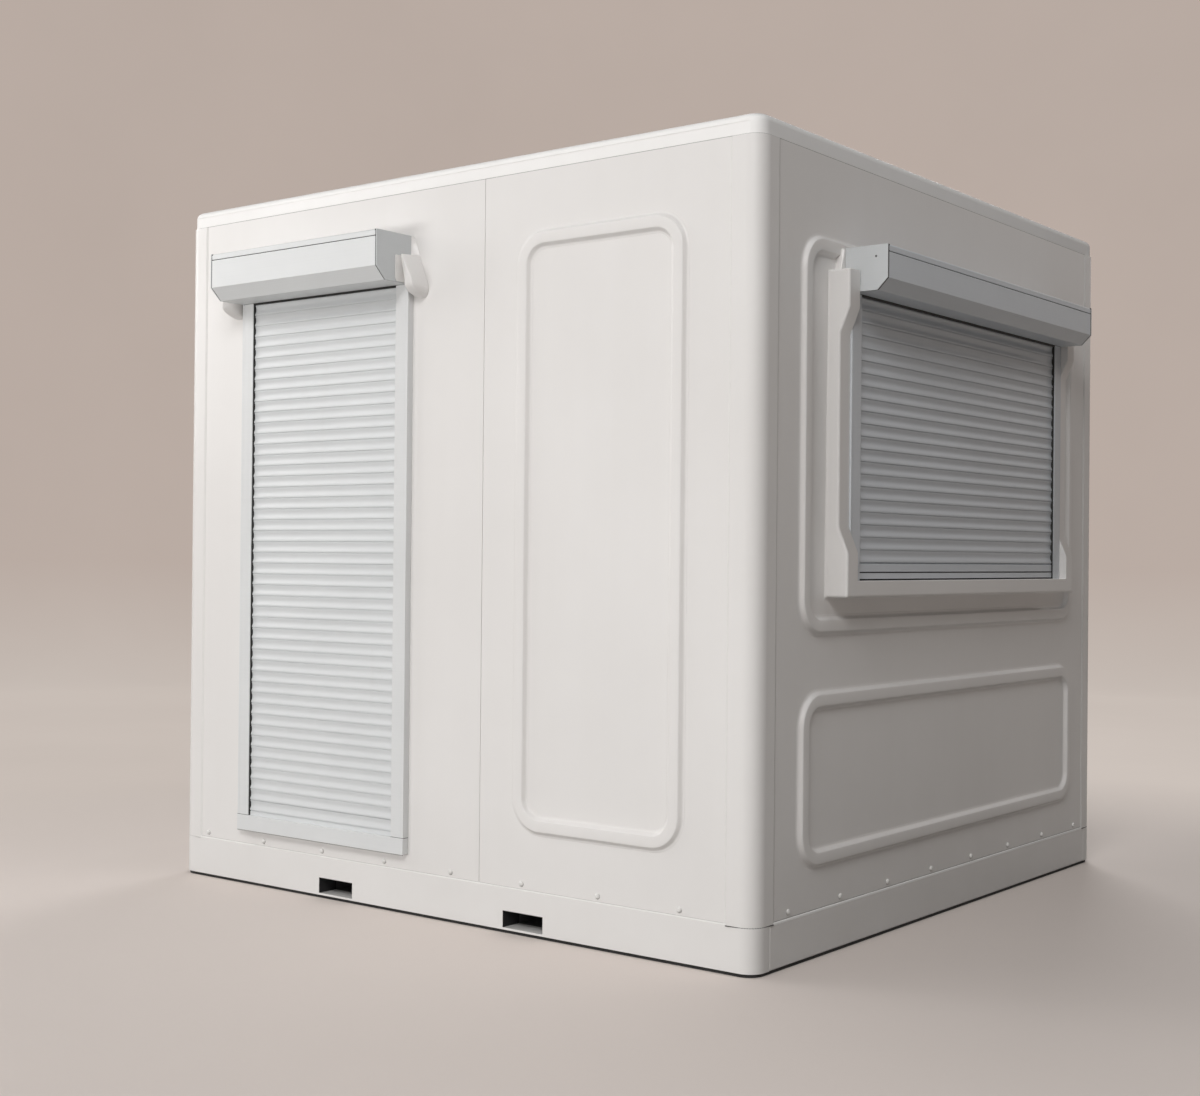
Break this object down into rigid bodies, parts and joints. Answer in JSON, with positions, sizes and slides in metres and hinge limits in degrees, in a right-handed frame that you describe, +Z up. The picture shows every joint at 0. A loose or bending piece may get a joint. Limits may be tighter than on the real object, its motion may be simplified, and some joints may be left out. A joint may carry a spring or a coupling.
{
  "type": "office pod",
  "caption": "Square moulded site office pod with ribbed white walls, a flat roof cap, forklift pockets, a door roller shutter and a wide serving-window roller shutter, both shown closed",
  "frame": {"origin": "The point on the underside of the base midway between the side walls and midway between the front and back walls; z = 0 is the ground.", "axes": "+Z is up, -Y is out of the front wall with the door shutter, +X is out of the wall with the serving window."},
  "size_m": [2.685, 2.647, 2.45],
  "materials": {
    "gelcoat_white": "satin moulded gelcoat",
    "roof_white": "satin moulded gelcoat",
    "shutter_white": "satin powder coat",
    "shutter_trim": "satin powder coat",
    "fork_steel": "matt primer on steel",
    "black_rubber": "matt",
    "floor_grey": "textured floor sheet",
    "screw_caps": "domed white caps over the screws"
  },
  "bodies": {
    "root": {"base_front": "gelcoat_white", "base_back": "gelcoat_white", "base_left": "gelcoat_white", "base_right": "gelcoat_white", "fork_tube_left": "fork_steel", "fork_tube_right": "fork_steel", "floor_bearer": "gelcoat_white", "floor_deck": "floor_grey", "post_front_left": "gelcoat_white", "post_front_right": "gelcoat_white", "post_back_left": "gelcoat_white", "post_back_right": "gelcoat_white", "front_wall_door_panel": "gelcoat_white", "front_wall_ribbed_panel": "gelcoat_white", "window_wall": "gelcoat_white", "back_wall_wide_panel": "gelcoat_white", "back_wall_narrow_panel": "gelcoat_white", "left_wall": "gelcoat_white", "roof_cap": "roof_white", "door_bracket_left": "gelcoat_white", "door_bracket_right": "gelcoat_white", "door_threshold": "shutter_trim", "door_guide_left": "shutter_trim", "door_guide_right": "shutter_trim", "door_curtain": "shutter_white", "door_bottom_bar": "shutter_white", "door_seal": "black_rubber", "door_box": "shutter_white", "door_box_cover": "shutter_white", "door_box_caps": "shutter_trim", "door_axle": "fork_steel", "window_frame_left": "gelcoat_white", "window_frame_right": "gelcoat_white", "window_sill": "gelcoat_white", "window_box_pad": "gelcoat_white", "window_guide_left": "shutter_trim", "window_guide_right": "shutter_trim", "window_curtain": "shutter_white", "window_bottom_bar": "shutter_white", "window_seal": "black_rubber", "window_box": "shutter_white", "window_box_cover": "shutter_white", "window_box_caps": "shutter_trim", "window_axle": "fork_steel", "base_screws": "screw_caps"}
  },
  "joints": []
}
